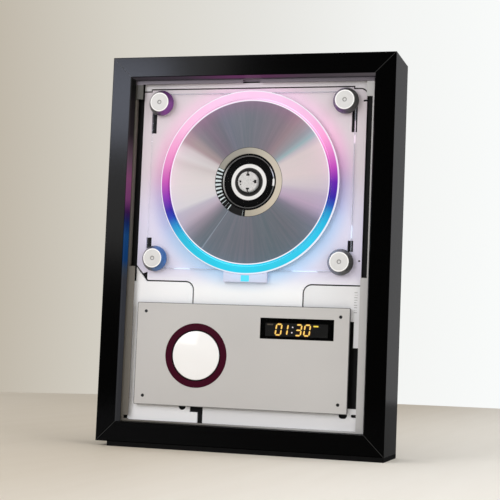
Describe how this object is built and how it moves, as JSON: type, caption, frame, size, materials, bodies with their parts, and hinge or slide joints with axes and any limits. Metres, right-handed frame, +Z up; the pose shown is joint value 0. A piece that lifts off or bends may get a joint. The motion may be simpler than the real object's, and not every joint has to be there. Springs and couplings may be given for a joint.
{
  "type": "framed disc player",
  "caption": "Wall mounted disc player in a black frame, with a light ring round a spinning disc, a laser sled behind it, a push-and-turn knob and a display.",
  "frame": {"origin": "middle of the bottom face of the frame, halfway through its depth", "axes": "+X to the right seen from the front, +Y from the front to the wall, +Z up"},
  "size_m": [0.21, 0.049, 0.2827],
  "materials": {
    "frame_black": "satin black lacquer",
    "strip_black": "matt black",
    "liner_grey": "satin anodised",
    "tray_black": "matt black powder coat",
    "plate_white": "satin white paint",
    "clear_acrylic": "polished clear",
    "nut_steel": "turned and polished",
    "ring_diffuser": "milky diffuser, lit",
    "feed_white": "satin white",
    "feed_lamp": "tinted window, lit",
    "disc_mirror": "mirror layer in clear plastic",
    "hub_grey": "speckled grey",
    "turntable_black": "moulded black",
    "pad_white": "soft white",
    "steel": "plain",
    "traverse_steel": "zinc plated sheet",
    "damper_rubber": "soft black",
    "gear_white": "moulded",
    "brass": "plain",
    "sled_black": "moulded black",
    "panel_aluminium": "bead blasted",
    "housing_black": "moulded black",
    "trim_maroon": "satin dark red",
    "knob_white": "gloss white",
    "window_black": "smoked window",
    "display_dark": "dark display with amber digits",
    "board_green": "solder resist",
    "ribbon_white": "flat cable",
    "back_black": "fine grained moulding",
    "battery_wrap": "shrink wrap"
  },
  "bodies": {
    "root": {"back_panel": "back_black", "base_strip": "strip_black", "base_studs": "steel", "battery_pack": "battery_wrap", "board_posts": "steel", "board_ribbon": "ribbon_white", "chassis_screws": "steel", "chassis_tray": "tray_black", "clear_base": "clear_acrylic", "control_board": "board_green", "control_panel": "panel_aluminium", "corner_brackets": "steel", "deck_plate": "plate_white", "display_module": "display_dark", "display_window": "window_black", "encoder": "housing_black", "frame_rail_bottom": "frame_black", "frame_rail_left": "frame_black", "frame_rail_right": "frame_black", "frame_rail_top": "frame_black", "frame_screws": "steel", "guide_rods": "steel", "headphone_jack": "housing_black", "keyhole_plates": "steel", "knob_trim_ring": "trim_maroon", "left_plate": "plate_white", "light_ring": "ring_diffuser", "liner": "liner_grey", "main_board": "board_green", "motor_bracket": "steel", "panel_housing": "housing_black", "panel_screws": "steel", "power_inlet": "steel", "power_switch": "housing_black", "right_plate": "plate_white", "ring_board": "board_green", "ring_feed_block": "feed_white", "ring_feed_window": "feed_lamp", "rubber_dampers": "damper_rubber", "sled_motor": "steel", "spindle_motor": "steel", "top_strip": "plate_white", "traverse_plate": "traverse_steel"},
    "disc": {"disc": "disc_mirror"},
    "spindle": {"turntable": "turntable_black", "turntable_pad": "pad_white", "hub": "hub_grey", "spindle_shaft": "steel"},
    "sled": {"laser_sled": "sled_black"},
    "lens": {"lens_holder": "sled_black"},
    "idler": {"idler_gear": "gear_white"},
    "pinion": {"motor_pinion": "brass"},
    "plunger": {"encoder_plunger": "housing_black"},
    "knob": {"control_knob": "knob_white", "encoder_shaft": "steel"},
    "switch": {"switch_slider": "housing_black"},
    "thumb_nut_top_left_body": {"thumb_nut_top_left": "nut_steel"},
    "thumb_nut_top_right_body": {"thumb_nut_top_right": "nut_steel"},
    "thumb_nut_bottom_left_body": {"thumb_nut_bottom_left": "nut_steel"},
    "thumb_nut_bottom_right_body": {"thumb_nut_bottom_right": "nut_steel"}
  },
  "joints": [
    {"name": "spindle_spin", "type": "hinge", "parent": "root", "child": "spindle", "pos_m": [0, -0.0147, 0.192], "axis": [0, 1, 0], "continuous": true},
    {"name": "disc_lift", "type": "slide", "parent": "spindle", "child": "disc", "axis": [0, -1, 0], "range_m": [0, 0.045]},
    {"name": "sled_slide", "type": "slide", "parent": "root", "child": "sled", "axis": [-1, 0, 0], "range_m": [0, 0.034]},
    {"name": "lens_focus", "type": "slide", "parent": "sled", "child": "lens", "axis": [0, -1, 0], "range_m": [-0.0005, 0.0005], "stiffness_N_per_m": 40},
    {"name": "idler_turn", "type": "hinge", "parent": "root", "child": "idler", "pos_m": [-0.046, -0.0022, 0.1606], "axis": [0, 1, 0], "range_deg": [-465, 0]},
    {"name": "pinion_turn", "type": "hinge", "parent": "root", "child": "pinion", "pos_m": [-0.03497, -0.0022, 0.14957], "axis": [0, 1, 0], "range_deg": [0, 1548]},
    {"name": "knob_press", "type": "slide", "parent": "root", "child": "plunger", "axis": [0, 1, 0], "range_m": [0, 0.0012], "stiffness_N_per_m": 400},
    {"name": "knob_turn", "type": "hinge", "parent": "plunger", "child": "knob", "pos_m": [-0.0339, -0.0177, 0.067], "axis": [0, 1, 0], "continuous": true},
    {"name": "power_slide", "type": "slide", "parent": "root", "child": "switch", "axis": [1, 0, 0], "range_m": [0, 0.002]},
    {"name": "thumb_nut_top_left_turn", "type": "hinge", "parent": "root", "child": "thumb_nut_top_left_body", "pos_m": [-0.0688, -0.0163, 0.2499], "axis": [0, 1, 0], "continuous": true},
    {"name": "thumb_nut_top_right_turn", "type": "hinge", "parent": "root", "child": "thumb_nut_top_right_body", "pos_m": [0.0688, -0.0163, 0.2499], "axis": [0, 1, 0], "continuous": true},
    {"name": "thumb_nut_bottom_left_turn", "type": "hinge", "parent": "root", "child": "thumb_nut_bottom_left_body", "pos_m": [-0.0688, -0.0163, 0.1359], "axis": [0, 1, 0], "continuous": true},
    {"name": "thumb_nut_bottom_right_turn", "type": "hinge", "parent": "root", "child": "thumb_nut_bottom_right_body", "pos_m": [0.0688, -0.0163, 0.1359], "axis": [0, 1, 0], "continuous": true}
  ],
  "couplings": [
    {"joint": "idler_turn", "follows": "sled_slide", "rad_per_m": -238.1},
    {"joint": "pinion_turn", "follows": "sled_slide", "rad_per_m": 793.65}
  ]
}
